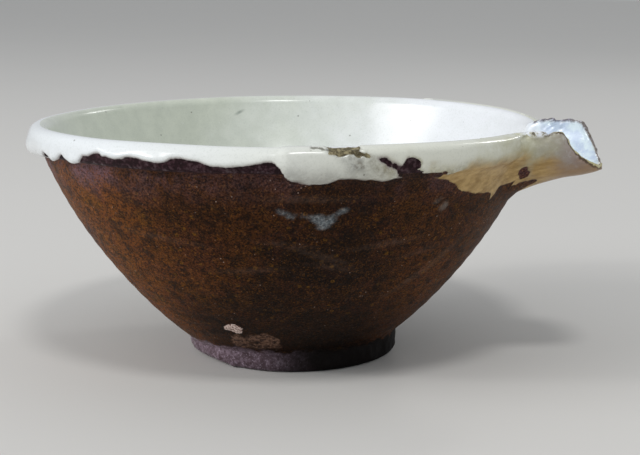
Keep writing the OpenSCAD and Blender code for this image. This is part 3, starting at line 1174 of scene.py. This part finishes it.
def hairline(n):
    """Share of the hairline crack that runs along the rim from the chip."""
    turn = n.math("ARCTAN2", n.y, n.x)
    height = n.strayed(CRACK_Z, n.noise(5, 3, 0.6), 0.0006, 0.3, 0.7)
    crack = n.math("ABSOLUTE", n.minus(n.z, height))
    crack = n.step(crack, 0.00015, 0.00045, 1, 0)
    for limit, way in ((CRACK_FROM, 1), (CRACK_TO, -1)):
        past = n.times(n.minus(turn, math.radians(limit)), way)
        crack = n.times(crack, n.step(past, 0, 0.012))
    return n.times(crack, 0.8)


def roughness_of(n, white, bare, wet_foot):
    """Roughness: low on the white, high on bare clay, and uneven on the rest."""
    rough = n.blend(white, n.step(n.small, 0.3, 0.7, 0.46, 0.7), 0.24)
    rough = n.blend(bare, rough, 0.62)
    return n.blend(wet_foot, rough, n.step(n.small, 0.3, 0.7, 0.28, 0.6))


def gloss_of(n, glossy, bare, wet_foot):
    """Strength of the clear coat, with small glints on the collar and the foot."""
    coat = n.blend(glossy, n.step(n.small, 0.48, 0.68, 0.0, 0.16), 0.8)
    coat = n.times(coat, n.minus(1.0, n.times(bare, 0.7)))
    bare_collar = n.times(n.at_collar, n.minus(1.0, glossy))
    glints = n.most(bare_collar, wet_foot)
    return n.most(coat, n.times(glints, n.step(n.small, 0.5, 0.64, 0.0, 0.8)))


def stoneware():
    """All the clays, glazes and marks of the bowl, laid one over the other."""
    n = Pottery()
    colour = n.mix(n.at_collar, iron_glaze(n), collar_clay(n))
    colour = n.mix(n.at_foot, colour, foot_clay(n))

    mauve = spout_mauve(n)
    thin_field = n.strayed(n.field("thin"), n.small, 0.5, 0, 1)
    thin = n.step(thin_field, 0.1, 0.6)
    tan = tan_glaze(n, mauve, n.step(thin_field, 0.1, 1.2, 0.5, 0))
    colour = n.mix(thin, colour, tan)

    white_field = n.strayed(n.field("white"), n.small, 0.4, 0, 1)
    over_thin = n.step(n.field("thin"), 1.0, 5.0)
    edge_tone = n.step(white_field, 0.1, 1.4, n.blend(over_thin, 0.8, 0.0), 0)
    white = n.step(white_field, 0.0, n.blend(over_thin, 0.45, 7.0))
    colour = n.mix(white, colour, white_glaze(n, mauve, edge_tone))

    colour, bare_edge = with_spout_edge(n, colour)
    colour, patch, scar, chip = with_scars(n, with_splashes(n, colour))
    colour = n.mix(hairline(n), colour, "54503e")

    bare = n.most(n.most(chip, scar), n.most(patch, n.at_foot))
    bare = n.most(bare, bare_edge)
    glossy = n.most(white, n.times(thin, 0.6))
    wet_foot = n.times(n.at_foot, n.lit_side_of_foot)
    grain = n.bump(n.times(n.fine, n.blend(white, 1.0, 0.10)), 0.16)
    return n.surface(
        colour,
        roughness_of(n, white, bare, wet_foot),
        n.bump(n.middle, 0.10, grain),
        Specular_IOR_Level=0.10,
        Coat_Weight=gloss_of(n, glossy, bare, wet_foot),
        Coat_Roughness=0.2,
    )


# ------------------------------------------------------------------- stage
# Metres, watts and degrees
FLOOR_HALF = 9
WORLD_COLOUR = (0.93, 0.96, 1, 1)
WORLD_STRENGTH = 0.55
CAMERA_REACH = 0.7
CAMERA_HEIGHT = 0.1895
CAMERA_SWING = 20
CAMERA_TURN = -1.30
CAMERA_DOWN = 10.37
SENSOR_WIDTH = 36
LENS = 78.75
# Name, place, height on the axis that it faces, width, height and power
LAMPS = [
    ("window", (-2.25, -1.8, 1.62), 0.08, 0.46, 0.11, 13),
    ("window_glow", (-2.28, -1.83, 1.64), 0.08, 2.2, 1.7, 42),
    ("front", (0.45, -0.9, 1.65), 0.10, 0.36, 0.24, 8),
    ("back", (0.62, 1.6, 1.38), 0.10, 0.32, 0.32, 3.4),
]


def plain_material(name, colour, roughness):
    n = Nodes(name)
    darker = (*(part * 0.985 for part in rgb(colour)), 1)
    tone = n.mix(n.noise(300, 2), colour, darker)
    return n.surface(tone, roughness, n.bump(n.noise(3, 2), 0.02), Specular_IOR_Level=0.1)


def add_plane(name, corners, material):
    mesh = bpy.data.meshes.new(name)
    mesh.from_pydata(corners, [], [(0, 1, 2, 3)])
    mesh.materials.append(material)
    plane = linked(name, mesh)


def add_lamp(name, place, faces, width, height, power):
    light = bpy.data.lights.new(name, "AREA")
    light.energy = power
    light.shape = "ELLIPSE"
    light.size = width
    light.size_y = height
    lamp = linked(name, light)
    lamp.location = place
    aim = Vector((0, 0, faces)) - Vector(place)
    lamp.rotation_euler = aim.to_track_quat("-Z", "Y").to_euler()


def add_camera():
    data = bpy.data.cameras.new("camera")
    data.sensor_width = SENSOR_WIDTH
    data.lens = LENS
    data.clip_end = 20
    camera = linked("camera", data)
    swing = math.radians(CAMERA_SWING)
    place = Vector(
        (CAMERA_REACH * math.sin(swing), -CAMERA_REACH * math.cos(swing), CAMERA_HEIGHT)
    )
    level = Vector((-place.x, -place.y, 0)).normalized()
    level.rotate(Matrix.Rotation(math.radians(CAMERA_TURN), 3, "Z"))
    down = math.radians(CAMERA_DOWN)
    look = level * math.cos(down) - Vector((0, 0, math.sin(down)))
    camera.location = place
    camera.rotation_euler = look.to_track_quat("-Z", "Y").to_euler()
    bpy.context.scene.camera = camera


def add_stage():
    far = FLOOR_HALF
    corners = [(-far, -far, 0), (far, -far, 0), (far, far, 0), (-far, far, 0)]
    add_plane("floor", corners, plain_material("floor_looks", "d2d0cc", 0.9))
    world = bpy.data.worlds.new("studio")
    bpy.context.scene.world = world
    world.use_nodes = True
    background = world.node_tree.nodes["Background"]
    background.inputs["Color"].default_value = WORLD_COLOUR
    background.inputs["Strength"].default_value = WORLD_STRENGTH
    for lamp in LAMPS:
        add_lamp(*lamp)


bowl = make_bowl()
bowl.data.materials.append(stoneware())
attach(bowl, "root")
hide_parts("bowl")
add_stage()
add_camera()
bpy.context.scene.view_settings.view_transform = "Standard"
